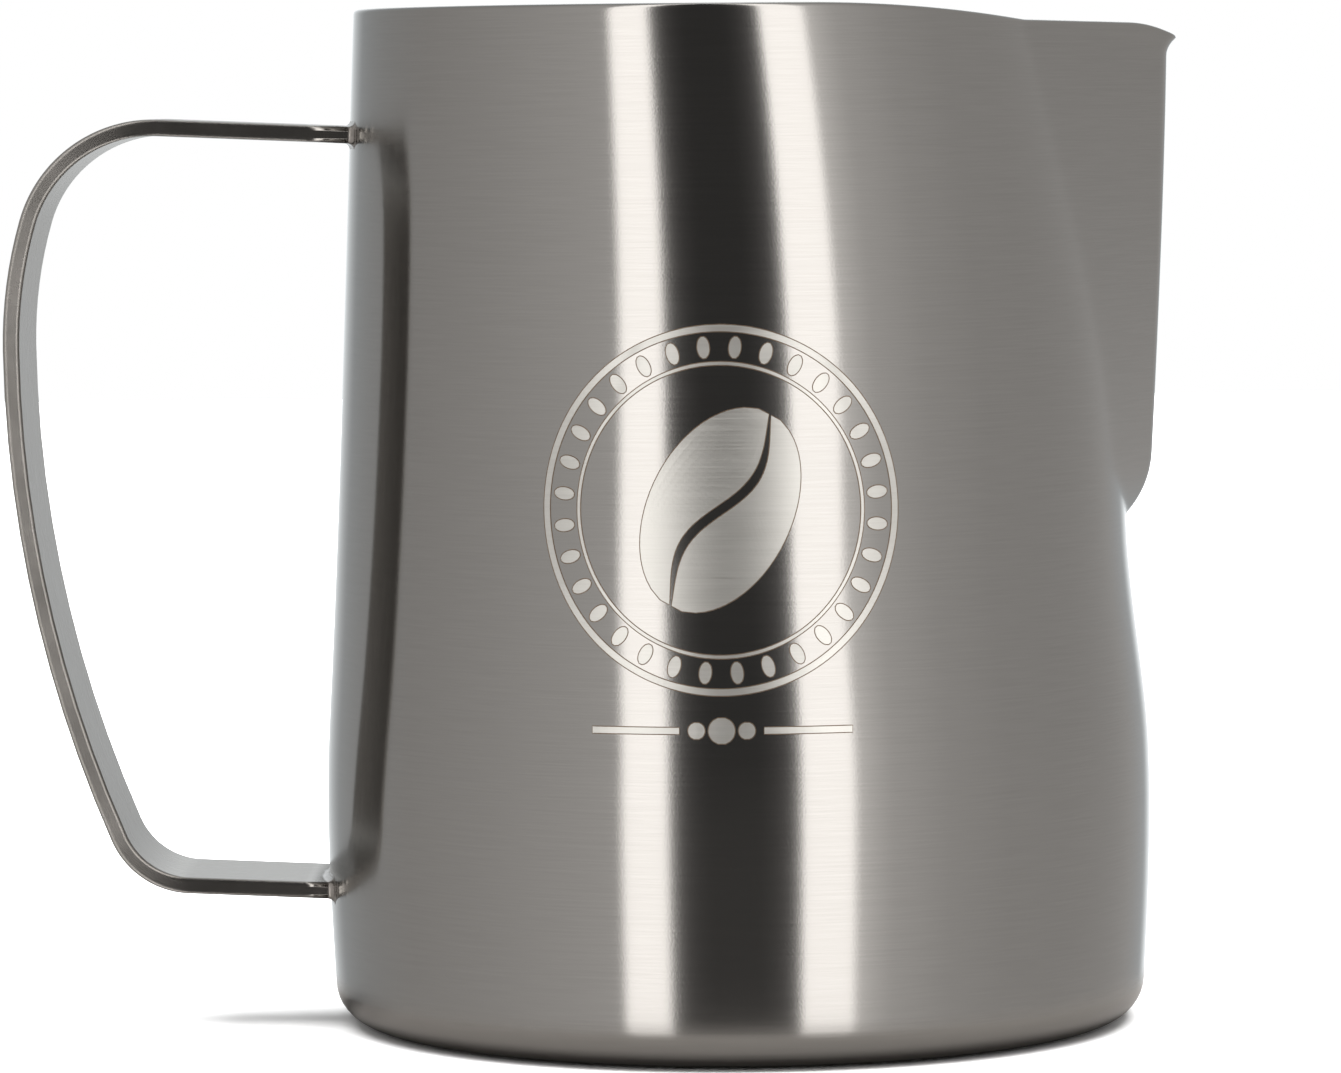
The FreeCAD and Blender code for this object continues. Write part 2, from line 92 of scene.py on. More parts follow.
SPOUT_MOST = 1.2                                # largest share of the rise, 1 being the rim
BEND_MOST = 1.2                                 # largest angle from a flat side's normal
CREASE = 0.2                                    # softness of the valley beside the spout
LIP_HEIGHT = 106.7
LIP_FLARE = 2.4
LIP_LENGTH = 2.9
LIP_MOST = 1.15                                 # share of the lip's length at which it stops
LIP_HALF_ANGLE = math.radians(18.0)
RIM_LEVEL_END = 8.0                             # x where the rim starts to dip
RIM_CREASE = (31.0, 108.25)                     # x and height of the rim's line by the valley,
RIM_NOSE = (43.2, 108.0)                        # where the lip starts to drop,
RIM_TIP = 48.7                                  # and x of its tip
SLOPE_STEP = 0.01                               # for slopes by difference, in mm or radians
STEEPEST = 0.5                                  # outward slope up to which the sheet is in full


def smooth_step(value):
    """An even rise from 0 to 1 with level ends."""
    value = np.clip(value, 0.0, 1.0)
    return value * value * (3.0 - 2.0 * value)


def cubic_run(low, high, height):
    """Radius between two levels, each given as height, radius and slope."""
    span = high[0] - low[0]
    part = (height - low[0]) / span
    rest = 1.0 - part
    level = low[1] * rest * rest * (1.0 + 2.0 * part) + high[1] * part * part * (3.0 - 2.0 * part)
    return level + (low[2] * part * rest * rest - high[2] * part * part * rest) * span


def round_radius(height):
    """Outer radius of the plain round wall."""
    lower = cubic_run(FOOT, BELLY, height)
    middle = cubic_run(BELLY, SHOULDER, height)
    upper = cubic_run(SHOULDER, RIM, height)
    return np.where(height < BELLY[0], lower, np.where(height < SHOULDER[0], middle, upper))


def wall_radius(height, side):
    """Round wall behind, drawn in towards the front and towards the rim."""
    low, full = CHIN_DRAW_LEVELS
    rise = smooth_step((height - low) / (full - low))
    grown = np.maximum((height - RIM_DRAW_START) / (JUG_HEIGHT - RIM_DRAW_START), 0.0)
    most = CHIN_DRAW * rise + RIM_DRAW * grown ** RIM_DRAW_POWER
    return round_radius(height) - most * np.cos(side / 2) ** DRAW_FADE_POWER


def nose_line(height):
    """How far the nose stands out from the axis in the plane of symmetry."""
    drop = np.clip(CHIN_HEIGHT - height, 0.0, CHIN_RADIUS)
    chin = NOSE_LINE[0] - CHIN_RADIUS + np.sqrt(CHIN_RADIUS ** 2 - drop ** 2)
    grown = np.clip((height - CHIN_HEIGHT) / (JUG_HEIGHT - CHIN_HEIGHT), 0.0, 1.0)
    line = NOSE_LINE[0] + (NOSE_LINE[1] - NOSE_LINE[0]) * (1.0 - (1.0 - grown) ** NOSE_POWER)
    return np.where(height < CHIN_HEIGHT, chin, line)


def spout_radius(height, side):
    """A rounded nose between two flat sides."""
    back = nose_line(height) - NOSE_TIGHT
    grown = np.clip((height - SPOUT_START) / (JUG_HEIGHT - SPOUT_START), 0.0, SPOUT_MOST)
    angle = SPOUT_ANGLES[0] + (SPOUT_ANGLES[1] - SPOUT_ANGLES[0]) * grown ** SPOUT_POWER
    touch = np.arctan2(NOSE_TIGHT * np.sin(angle), back + NOSE_TIGHT * np.cos(angle))
    inside = np.maximum(NOSE_TIGHT ** 2 - (back * np.sin(np.minimum(side, 1.0))) ** 2, 0.0)
    nose = back * np.cos(side) + np.sqrt(inside)
    square = back * np.cos(angle) + NOSE_TIGHT
    bend = np.clip(side - angle, -BEND_MOST, BEND_MOST)
    flat = np.where(side < angle, square / np.cos(bend), square * np.cos(bend))
    return np.where(side < touch, nose, flat)


def rim_height(x):
    """Height of the rim at x: level, then a dip, a straight run, and a drop to the lip."""
    dip = JUG_HEIGHT - RIM_CREASE[1]
    fall = JUG_HEIGHT - dip * ((x - RIM_LEVEL_END) / (RIM_CREASE[0] - RIM_LEVEL_END)) ** 2
    share = (x - RIM_CREASE[0]) / (RIM_NOSE[0] - RIM_CREASE[0])
    run = RIM_CREASE[1] * (1.0 - share) + RIM_NOSE[1] * share
    share = (x - RIM_NOSE[0]) / (RIM_TIP - RIM_NOSE[0])
    drop = RIM_NOSE[1] - (RIM_NOSE[1] - LIP_HEIGHT) * share ** 2
    ahead = np.where(x < RIM_CREASE[0], fall, np.where(x < RIM_NOSE[0], run, drop))
    return np.where(x < RIM_LEVEL_END, JUG_HEIGHT, ahead)


def outer_radius(height, angle):
    """Outer radius of the cup at a height, in a plan direction from +X."""
    side = np.abs(angle)
    wall = wall_radius(height, side)
    spout = spout_radius(height, side)
    radius = 0.5 * (wall + spout + np.hypot(wall - spout, CREASE))
    start = rim_height(radius * np.cos(side)) - LIP_LENGTH
    up = np.clip((height - start) / LIP_LENGTH, 0.0, LIP_MOST)
    fade = smooth_step((LIP_HALF_ANGLE - side) / LIP_HALF_ANGLE)
    return radius + LIP_FLARE * up ** 2 * fade


def inner_radius(height, angle):
    """The same inside, the sheet's thickness in."""
    step = SLOPE_STEP
    radius = outer_radius(height, angle)
    around = (outer_radius(height, angle + step) - outer_radius(height, angle - step)) / (2 * step)
    up = (outer_radius(height + step, angle) - outer_radius(height - step, angle)) / (2 * step)
    return radius - SHEET * np.sqrt(1.0 + (around / radius) ** 2 + np.minimum(up, STEEPEST) ** 2)


# ---------------------------------------------------------------- mesh helpers

def add_mesh(name, points, faces, material):
    """A smooth-shaded mesh object from points in millimetres."""
    mesh = bpy.data.meshes.new(name)
    mesh.from_pydata((np.asarray(points) * MM).tolist(), [], faces)
    mesh.validate()
    mesh.polygons.foreach_set("use_smooth", [True] * len(mesh.polygons))
    mesh.materials.append(material)
    mesh.update()
    piece = bpy.data.objects.new(name, mesh)
    bpy.context.scene.collection.objects.link(piece)
    return piece


def ring_faces(count, rings, first=0, wrap=False):
    """Quads between closed rings of points; wrap joins the last ring to the first."""
    faces = []
    for ring in range(rings if wrap else rings - 1):
        low = first + ring * count
        high = first + (ring + 1) % rings * count
        for index in range(count):
            following = (index + 1) % count
            faces.append((low + index, low + following, high + following, high + index))
    return faces


# ---------------------------------------------------------------- the cup

COLUMN_PACES = ((8.0, 0.4), (50.0, 0.6), (180.0, 1.0))     # degrees: up to this, this far apart
CHIN_ROWS = (49.0, 61.0)                        # rows of the wall are close between these heights
LIP_ROWS = 101.0                                # and above this one
ROW_PACES = (0.4, 1.3)                          # close rows, and the others
LAST_SHARE = 0.997                              # rows nearer the edge than this are left out
RIM_ROUNDS = 8                                  # steps in which the rim's height settles
CORNER_PACE = 9.0                               # degrees between the rows of the foot's corner
RIM_PACE = 30.0                                 # and of the rim's rounding
EASE = 0.3                                      # rounding of the recess's corners
BEVEL = 0.1                                     # and the smaller step beside it
MOUTH_ROUND = (0.05, 0.08)                      # the row on the mouth's corner: out, and up
FLAT_BY_MOUTH = 1.2                             # flat under the foot, out from the mouth
FLAT_BY_CORNER = 1.0                            # and in from the corner
UNDER_ROWS = (6.0, 14.0, 22.0, 30.0)            # radii of the rows over the recess
INSIDE_ROWS = (28.0, 20.0, 12.0, 5.0)           # and over the raised floor inside
INSIDE_FLAT = 3.0                               # the first of those, in from the raised edge


def plan_angles():
    """Plan directions of the cup's columns: close at the nose, wider at the back."""
    half = [0.0]
    while half[-1] < 180.0:
        half.append(half[-1] + next(pace for end, pace in COLUMN_PACES if half[-1] < end))
    half[-1] = 180.0
    both = [-angle for angle in reversed(half[1:-1])] + half
    return np.radians(np.array(both))


def wall_shares():
    """Shares of the wall's height for its rows: close at the chin and at the lip."""
    heights = []
    height = CORNER
    while height < JUG_HEIGHT:
        heights.append(height)
        close = CHIN_ROWS[0] < height < CHIN_ROWS[1] or height > LIP_ROWS
        height += ROW_PACES[0] if close else ROW_PACES[1]
    top = JUG_HEIGHT - SHEET / 2
    shares = (np.array(heights) - CORNER) / (top - CORNER)
    return np.append(shares[shares < LAST_SHARE], 1.0)


def make_cup(material, inside_material):
    """One closed skin: underside, foot, wall, rim, inside wall and floor."""
    angles = plan_angles()
    rings = []

    def wall_ring(radius, height):
        rings.append(np.stack([radius * np.cos(angles), radius * np.sin(angles), height], axis=1))

    def flat_ring(radius, height):
        wall_ring(radius, np.full(len(angles), float(height)))

    half_sheet = SHEET / 2
    rim = np.full(len(angles), JUG_HEIGHT)
    for _ in range(RIM_ROUNDS):
        rim = rim_height(outer_radius(rim, angles) * np.cos(angles))

    top_radius = RECESS - RECESS_DRAFT
    for radius in UNDER_ROWS + (top_radius - 1.0, top_radius - EASE):
        flat_ring(radius, RECESS_DEPTH)
    flat_ring(top_radius, RECESS_DEPTH - BEVEL)
    flat_ring(RECESS - BEVEL, EASE)
    flat_ring(RECESS + MOUTH_ROUND[0], MOUTH_ROUND[1])
    flat_ring(RECESS + EASE, 0.0)
    flat_ring(RECESS + FLAT_BY_MOUTH, 0.0)
    foot = round_radius(np.array(0.0)) - CORNER
    flat_ring(foot - FLAT_BY_CORNER, 0.0)
    for turn in np.radians(np.arange(0.0, 90.0, CORNER_PACE)):
        height = CORNER * (1 - math.cos(turn))
        flat_ring(round_radius(np.array(height)) - CORNER * (1 - math.sin(turn)), height)
    shares = wall_shares()
    for share in shares:
        height = CORNER + share * (rim - half_sheet - CORNER)
        wall_ring(outer_radius(height, angles), height)
    edge = rim - half_sheet
    outside = outer_radius(edge, angles)
    inside = inner_radius(edge, angles)
    for turn in np.radians(np.arange(RIM_PACE, 180.0, RIM_PACE)):
        across = (outside + inside) / 2 + (outside - inside) / 2 * math.cos(turn)
        wall_ring(across, edge + half_sheet * math.sin(turn))
    inner_corner = CORNER - SHEET
    inner_start = len(rings)
    for share in shares[::-1]:
        height = CORNER + share * (edge - CORNER)
        wall_ring(inner_radius(height, angles), height)
    for turn in np.radians(np.arange(90.0 - CORNER_PACE, -1.0, -CORNER_PACE)):
        height = SHEET + inner_corner * (1 - math.cos(turn))
        radius = round_radius(np.array(height)) - SHEET - inner_corner * (1 - math.sin(turn))
        flat_ring(radius, height)
    raised = SHEET + RECESS_DEPTH
    step = RECESS + half_sheet
    flat_ring(step + EASE, SHEET)
    flat_ring(step, SHEET + BEVEL)
    flat_ring(step - RECESS_DRAFT + BEVEL, raised - BEVEL)
    flat_ring(step - RECESS_DRAFT - EASE, raised)
    for radius in (step - INSIDE_FLAT,) + INSIDE_ROWS:
        flat_ring(radius, raised)

    count = len(angles)
    points = np.concatenate(rings)
    faces = ring_faces(count, len(rings))
    under = len(points)
    points = np.vstack([points, [[0.0, 0.0, RECESS_DEPTH], [0.0, 0.0, raised]]])
    last = (len(rings) - 1) * count
    for index in range(count):
        following = (index + 1) % count
        faces.append((under, following, index))
        faces.append((under + 1, last + index, last + following))
    cup = add_mesh("cup_shell", points, faces, material)
    cup.data.materials.append(inside_material)
    fans = len(faces) - 2 * count
    for polygon in cup.data.polygons:
        fan_turn = polygon.index - fans
        if polygon.index >= inner_start * count and (fan_turn < 0 or fan_turn % 2):
            polygon.material_index = 1
    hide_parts("pitcher_body")
    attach(cup, "root")
    return cup


# ---------------------------------------------------------------- handle strap

STRAP_WIDTH = (strap_high[1] - strap_low[1]) / MM
STRAP_THICK = 1.8
STRAP_EDGE = 0.42                               # rounding of its long edges
STRAP_EASE = 0.12                               # extra points this far before and after each edge
STRAP_MIDDLES = 10                              # parts that each wide side is divided into
STRAP_START = (-40.0, 97.38)                    # outer face, before the end is cut to the wall
STRAP_SLOPE = 2.62                              # degrees that the upper arm rises
STRAP_UPPER_ARM = 21.92
STRAP_ARCS = ((15.0, 76.14), (48.5, 16.79), (137.6, 22.77), (9.5, 64.42))   # radius, turn
STRAP_LOWER_ARM = 18.7
STRAP_GAP = 0.35                                # between its ends and the wall
STRAP_FREE = 4.6                                # stations nearer the rim's radius are left out
STATION_PACE = 2.0                              # mm on straight runs, degrees on bends
MEET_ROUNDS = 12                                # steps in which a line's way to the wall settles
STRAP_LENGTHWISE = "along_the_strap"            # its UV map, u running along the brushing


def strap_path():
    """Stations along the strap's outer face: x, z and the direction it runs in."""
    heading = math.radians(180.0 - STRAP_SLOPE)
    spot = np.array(STRAP_START)
    stations = []

    def run(length):
        steps = max(2, round(length / STATION_PACE))
        way = np.array([math.cos(heading), math.sin(heading)])
        for index in range(steps):
            stations.append((spot + way * length * index / steps, heading))
        return spot + way * length

    spot = run(STRAP_UPPER_ARM)
    for radius, turn in STRAP_ARCS:
        centre = spot + np.array([-math.sin(heading), math.cos(heading)]) * radius
        steps = max(8, round(turn / STATION_PACE))
        for index in range(steps):
            now = heading + math.radians(turn) * index / steps
            stations.append((centre + radius * np.array([math.sin(now), -math.cos(now)]), now))
        heading += math.radians(turn)
        spot = centre + radius * np.array([math.sin(heading), -math.cos(heading)])
    spot = run(STRAP_LOWER_ARM)
    stations.append((spot, heading))
    return stations


def strap_outline():
    """Section of the strap: across and depth from its outer face, with rounded corners."""
    half = STRAP_WIDTH / 2
    outline = []
    corners = ((half, 0.0, 0.0), (-half, 0.0, 90.0), (-half, STRAP_THICK, 180.0),
               (half, STRAP_THICK, 270.0))
    for across, depth, start in corners:
        centre_across = across - math.copysign(STRAP_EDGE, across)
        centre_depth = STRAP_EDGE if depth == 0.0 else STRAP_THICK - STRAP_EDGE
        turns = [start + 15.0 * index for index in range(7)]
        arc = [(centre_across + STRAP_EDGE * math.cos(math.radians(turn)),
                centre_depth - STRAP_EDGE * math.sin(math.radians(turn))) for turn in turns]
        first = math.radians(start)
        lead = (arc[0][0] + STRAP_EASE * math.sin(first),
                arc[0][1] + STRAP_EASE * math.cos(first))
        last = math.radians(start + 90.0)
        trail = (arc[-1][0] - STRAP_EASE * math.sin(last),
                 arc[-1][1] - STRAP_EASE * math.cos(last))
        outline += [lead] + arc + [trail]
        if start in (0.0, 180.0):
            run = -2.0 * trail[0] / STRAP_MIDDLES
            outline += [(trail[0] + run * index, trail[1]) for index in range(1, STRAP_MIDDLES)]
    return outline


def wall_meet(spot, way, across, gap):
    """How far along a straight line from a spot the wall, larger by a gap, is reached."""
    length = 0.0
    for _ in range(MEET_ROUNDS):
        x = spot[0] + way[0] * length
        height = spot[1] + way[1] * length
        reach = float(round_radius(np.array(height))) + gap
        wanted = -math.sqrt(reach * reach - across * across)
        length += (wanted - x) / way[0]
    return length


def make_strap(material):
    """The strap swept along its path, each end cut hollow to follow the wall."""
    stations = strap_path()
    outline = strap_outline()
    first_way = np.array([math.cos(stations[0][1]), math.sin(stations[0][1])])
    last_way = np.array([math.cos(stations[-1][1]), math.sin(stations[-1][1])])
    kept = [station for index, station in enumerate(stations)
            if station[0][0] < -RIM[1] - STRAP_FREE or index in (0, len(stations) - 1)]
    points = []
    ends = {0: first_way, len(kept) - 1: last_way}
    for index, (spot, heading) in enumerate(kept):
        inward = np.array([-math.sin(heading), math.cos(heading)])
        for across, depth in outline:
            place = spot + inward * depth
            if index in ends:
                place = place + ends[index] * wall_meet(place, ends[index], across, STRAP_GAP)
            points.append((place[0], across, place[1]))
    count = len(outline)
    faces = ring_faces(count, len(kept))
    for first in (0, (len(kept) - 1) * count):
        top = [first + index for index in range(count // 2)]
        bottom = [first + count - 1 - index for index in range(count // 2)]
        for index in range(count // 2 - 1):
            quad = (top[index], top[index + 1], bottom[index + 1], bottom[index])
            faces.append(quad if first else quad[::-1])
    strap = add_mesh("strap_handle", points, faces, material)
    lengthwise = strap.data.uv_layers.new(name=STRAP_LENGTHWISE)
    for loop in strap.data.loops:
        station, spot_index = divmod(loop.vertex_index, count)
        lengthwise.data[loop.index].uv = (station / len(kept), spot_index / count)
    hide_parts("handle_strap")
    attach(strap, "root")
    return strap


WELD_LEG = 0.62                                 # how far it spreads from the strap over the wall
WELD_REACH = 0.75                               # and from the wall along the strap
WELD_UNEVEN = 0.3                               # share by which both vary round the strap
WELD_SHIFT = 5                                  # points by which their waves are out of step
WELD_HOLLOW = 1.7                               # how concave its face is
WELD_ROWS = 7
WELD_WAVES = 4
WAVE_SIZES = (0.4, 1.0)
WAVE_PACES = (1.0, 3.4)                         # radians per mm round the strap
WAVE_STARTS = (0.0, 6.0)
WELD_IN_STRAP = -0.3                            # its hidden back, sunk into the strap
WELD_IN_WALL = -0.25                            # and into the wall
WELD_BACK = (0.6, 0.9)                          # shares of reach and leg where the back starts
WELD_SEEDS = (3, 8)


def make_weld(name, node, station, material, seed):
    """A concave fillet of weld metal round one end of the strap, uneven along its length."""
    spot, heading = station
    way = np.array([math.cos(heading), math.sin(heading)])
    inward = np.array([-math.sin(heading), math.cos(heading)])
    outline = np.array(strap_outline())
    centre = np.array([0.0, STRAP_THICK / 2])
    following = np.roll(outline, -1, axis=0)
    before = np.roll(outline, 1, axis=0)
    along = following - before
    along /= np.linalg.norm(along, axis=1)[:, None]
    outward = np.stack([along[:, 1], -along[:, 0]], axis=1)
    flip = np.sign(((outline - centre) * outward).sum(axis=1))
    outward *= flip[:, None]
    chance = np.random.default_rng(seed)
    walk = np.cumsum(np.linalg.norm(following - outline, axis=1))
    waves = sum(chance.uniform(*WAVE_SIZES)
                * np.sin(walk * chance.uniform(*WAVE_PACES) + chance.uniform(*WAVE_STARTS))
                for _ in range(WELD_WAVES)) / WELD_WAVES
    leg = WELD_LEG * (1.0 + WELD_UNEVEN * waves)
    reach = WELD_REACH * (1.0 + WELD_UNEVEN * np.roll(waves, WELD_SHIFT))
    profile = [(leg * (1 - share) ** WELD_HOLLOW, reach * share ** WELD_HOLLOW)
               for share in np.linspace(0.0, 1.0, WELD_ROWS)]
    in_strap = np.full(len(leg), WELD_IN_STRAP)
    in_wall = np.full(len(leg), WELD_IN_WALL)
    profile += [(in_strap, reach * WELD_BACK[0]), (in_strap, in_wall),
                (leg * WELD_BACK[1], in_wall)]
    rings = []
    for spread, stand in profile:
        ring = []
        for index, (across, depth) in enumerate(outline):
            spread_across = across + outward[index, 0] * spread[index]
            spread_depth = depth + outward[index, 1] * spread[index]
            place = spot + inward * spread_depth
            length = wall_meet(place, way, spread_across, stand[index])
            place = place + way * length
            ring.append((place[0], spread_across, place[1]))
        rings.append(ring)
    count = len(outline)
    faces = ring_faces(count, len(rings), wrap=True)
    bead = add_mesh(name, np.concatenate(rings), faces, material)
    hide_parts(node)
    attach(bead, "root")
    return bead


# ---------------------------------------------------------------- etched badge

BADGE = (-1.7, 58.0)                            # centre of the badge: across the front, and height
ETCH_PROUD = 0.03                               # how far its faces stand out from the wall
OUTLINE_PROUD = 0.016
OUTLINE_WIDTH = 0.1
ETCH_ROOT = -0.05                               # and its hidden back, sunk into it
PATCH_PACE = 0.8                                # steps across a patch are this or a little more
BADGE_RINGS = ((18.35, 19.0), (14.9, 15.2))     # inner and outer radius
RING_PARTS = 24
GRAINS = 32
GRAIN_CIRCLE = 16.75                            # radius that the grains stand on
GRAIN_HALF = (1.12, 0.62)                       # half length and half width of one
BEAN_LEAN = math.radians(-28.0)
BEAN_HALF = (7.4, 11.2)                         # half width and half height
GROOVE_SWING = 1.9                              # how far the bean's groove curves to each side
GROOVE_FADE = 0.3                               # and by what share less at its ends
GROOVE_HALF = 0.62                              # half its width in the middle
GROOVE_CLOSE = 1.35                             # radians of a cosine in which it closes
RULE_LEVEL = -22.6                              # of the rule and its studs, from the centre
RULES = ((-13.6, -4.4), (4.4, 13.6))            # its two runs
RULE_HALF = 0.32
STUDS = ((-2.6, 0.85), (0.0, 1.35), (2.6, 0.85))           # place, and half size


def wall_point(across, height, lift):
    """A point of the cup's near side, given by its distance round the wall from x = 0."""
    around = float(round_radius(np.array(height)))
    angle = -math.pi / 2 + across / around
    radius = float(outer_radius(np.array(float(height)), np.array(angle))) + lift
    return (radius * math.cos(angle), radius * math.sin(angle), height)


def etched_patch(points, faces, left, right, lift):
    """A thin closed plate on the wall between two curves of equal length."""
    across_steps = max(1, int(np.linalg.norm(left - right, axis=1).max() / PATCH_PACE))
    first = len(points)
    width = across_steps + 1
    rows = len(left)
    for level in (lift, ETCH_ROOT):
        for row in range(rows):
            for step in range(width):
                spot = left[row] + (right[row] - left[row]) * step / across_steps
                points.append(wall_point(BADGE[0] + spot[0], BADGE[1] + spot[1], level))
    under = first + rows * width
    for row in range(rows - 1):
        for step in range(across_steps):
            corner = first + row * width + step
            faces.append((corner, corner + 1, corner + 1 + width, corner + width))
            corner = under + row * width + step
            faces.append((corner, corner + width, corner + 1 + width, corner + 1))
    for row in range(rows - 1):
        for step, swap in ((0, False), (across_steps, True)):
            top = first + row * width + step
            low = under + row * width + step
            side = (top, top + width, low + width, low)
            faces.append(side[::-1] if swap else side)
    for row, swap in ((0, False), (rows - 1, True)):
        for step in range(across_steps):
            top = first + row * width + step
            low = under + row * width + step
            side = (top, top + 1, low + 1, low)
            faces.append(side[::-1] if swap else side)


def widened(left, right, amount):
    """The same two curves moved apart, and their ends moved out, by an amount."""
    loop = np.concatenate([left, right[::-1]])
    along = np.roll(loop, -1, axis=0) - np.roll(loop, 1, axis=0)
    along /= np.maximum(np.linalg.norm(along, axis=1), 1e-9)[:, None]
    outward = np.stack([along[:, 1], -along[:, 0]], axis=1)
    area = (loop[:, 0] * np.roll(loop[:, 1], -1) - loop[:, 1] * np.roll(loop[:, 0], -1)).sum()
    loop = loop + outward * (amount if area > 0 else -amount)
    return loop[:len(left)], loop[len(left):][::-1]


def badge_shapes():
    """Curve pairs of the badge, and whether a shape joins the next one end to end.

    Two rings, a circle of grains, a coffee bean in halves, and a rule with studs in its middle.
    """
    shapes = []
    round_turns = np.linspace(0.0, 2 * math.pi, RING_PARTS + 1)
    for inner, outer in BADGE_RINGS:
        for start, end in zip(round_turns[:-1], round_turns[1:]):
            turns = np.linspace(start, end, 9)
            circle = np.stack([np.cos(turns), np.sin(turns)], axis=1)
            shapes.append((circle * outer, circle * inner, True))
    for index in range(GRAINS):
        turn = 2 * math.pi * (index + 0.5) / GRAINS
        out = np.array([math.cos(turn), math.sin(turn)])
        side = np.array([-out[1], out[0]])
        run = np.linspace(-0.97, 0.97, 11)
        swell = GRAIN_HALF[1] * np.sqrt(1 - run ** 2)
        spine = out * GRAIN_CIRCLE + np.outer(run * GRAIN_HALF[0], out)
        shapes.append((spine + np.outer(swell, side), spine - np.outer(swell, side), False))
    lean_cos, lean_sin = math.cos(BEAN_LEAN), math.sin(BEAN_LEAN)
    turned = np.array([[lean_cos, lean_sin], [-lean_sin, lean_cos]])
    run = np.linspace(-0.985, 0.985, 41)
    belly = BEAN_HALF[0] * np.sqrt(1 - run ** 2)
    groove = GROOVE_SWING * np.sin(math.pi * run) * (1 - GROOVE_FADE * run ** 2)
    gap = GROOVE_HALF * np.cos(run * GROOVE_CLOSE)
    height = run * BEAN_HALF[1]
    for hand in (-1, 1):
        rim_side = np.stack([hand * belly, height], axis=1)
        inner_edge = hand * np.minimum(hand * groove + gap, belly)
        groove_side = np.stack([inner_edge, height], axis=1)
        shapes.append((rim_side @ turned, groove_side @ turned, False))
    for low, high in RULES:
        run = np.linspace(low, high, 12)
        upper, lower = (np.stack([run, np.full_like(run, RULE_LEVEL + side)], axis=1)
                        for side in (RULE_HALF, -RULE_HALF))
        shapes.append((upper, lower, False))
    for centre, half in STUDS:
        run = np.linspace(-0.96, 0.96, 13)
        swell = half * np.sqrt(1 - run ** 2)
        spine = np.stack([np.full_like(run, centre), RULE_LEVEL + run * half], axis=1)
        across = np.stack([swell, np.zeros_like(run)], axis=1)
        shapes.append((spine - across, spine + across, False))
    return shapes


def make_badge(etched, outlined):
    """The badge in bare steel, and the burnt outline that shows round each of its shapes."""
    for name, lift, growth, material in (
            ("badge_etching", ETCH_PROUD, 0.0, etched),
            ("badge_outline", OUTLINE_PROUD, OUTLINE_WIDTH, outlined)):
        points = []
        faces = []
        for left, right, joined in badge_shapes():
            if growth and joined:
                out = left / np.linalg.norm(left, axis=1)[:, None] * growth
                left, right = left + out, right - out
            elif growth:
                left, right = widened(left, right, growth)
            etched_patch(points, faces, left, right, lift)
        piece = add_mesh(name, points, faces, material)
        piece.data.polygons.foreach_set("use_smooth", [False] * len(piece.data.polygons))
        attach(piece, "root")


# ---------------------------------------------------------------- materials

NOISE_ROUGHNESS = 0.6
NOISE_RANGE = (0.3, 0.7)                        # where most of a noise's values lie
EVEN = (1.0, 1.0, 1.0)                          # a noise that isn't drawn out
DUST_SCALE = 4200.0                             # of the coating's fine sparkle
QUARTER_TURN = 0.25                             # of the highlight, to lie across the brushing


def new_material(name):
    """A node material, with its nodes, its links and its shader."""
    material = bpy.data.materials.new(name)
    material.use_nodes = True
    nodes = material.node_tree.nodes
    return material, nodes, material.node_tree.links, nodes["Principled BSDF"]


def add_node(nodes, kind, **settings):
    """A new node with some of its properties set."""
    node = nodes.new(kind)
    for key, value in settings.items():
        setattr(node, key, value)
    return node


def streaks(nodes, links, stretch, scale, detail):
    """Noise drawn out along the brushing; stretch is how fine it is in X, Y and Z."""
    place = add_node(nodes, "ShaderNodeTexCoord")
    mapping = add_node(nodes, "ShaderNodeMapping")
    mapping.inputs["Scale"].default_value = stretch
    noise = add_node(nodes, "ShaderNodeTexNoise")
    noise.inputs["Scale"].default_value = scale
    noise.inputs["Detail"].default_value = detail
    noise.inputs["Roughness"].default_value = NOISE_ROUGHNESS
    links.new(place.outputs["Object"], mapping.inputs["Vector"])
    links.new(mapping.outputs["Vector"], noise.inputs["Vector"])
    return noise.outputs["Fac"]


def ramp(nodes, links, value, low, high):
    """Spread a noise over two colours."""
    node = add_node(nodes, "ShaderNodeValToRGB")
    for element, position, color in zip(node.color_ramp.elements, NOISE_RANGE, (low, high)):
        element.position = position
        element.color = (*color, 1.0)
    links.new(value, node.inputs["Fac"])
    return node.outputs["Color"]


def spread(nodes, links, value, low, high):
    """Spread a noise over low to high."""
    node = add_node(nodes, "ShaderNodeMapRange")
    node.inputs["From Min"].default_value = NOISE_RANGE[0]
    node.inputs["From Max"].default_value = NOISE_RANGE[1]
    node.inputs["To Min"].default_value = low
    node.inputs["To Max"].default_value = high
    links.new(value, node.inputs["Value"])
    return node.outputs["Result"]


def bump(nodes, links, shader, layers):
    """Stack height noises, each given with its depth in metres."""
    normal = None
    for value, depth in layers:
        node = add_node(nodes, "ShaderNodeBump")
        node.inputs["Strength"].default_value = 1.0
        node.inputs["Distance"].default_value = depth
        links.new(value, node.inputs["Height"])
        if normal is not None:
            links.new(normal, node.inputs["Normal"])
        normal = node.outputs["Normal"]
    links.new(normal, shader.inputs["Normal"])


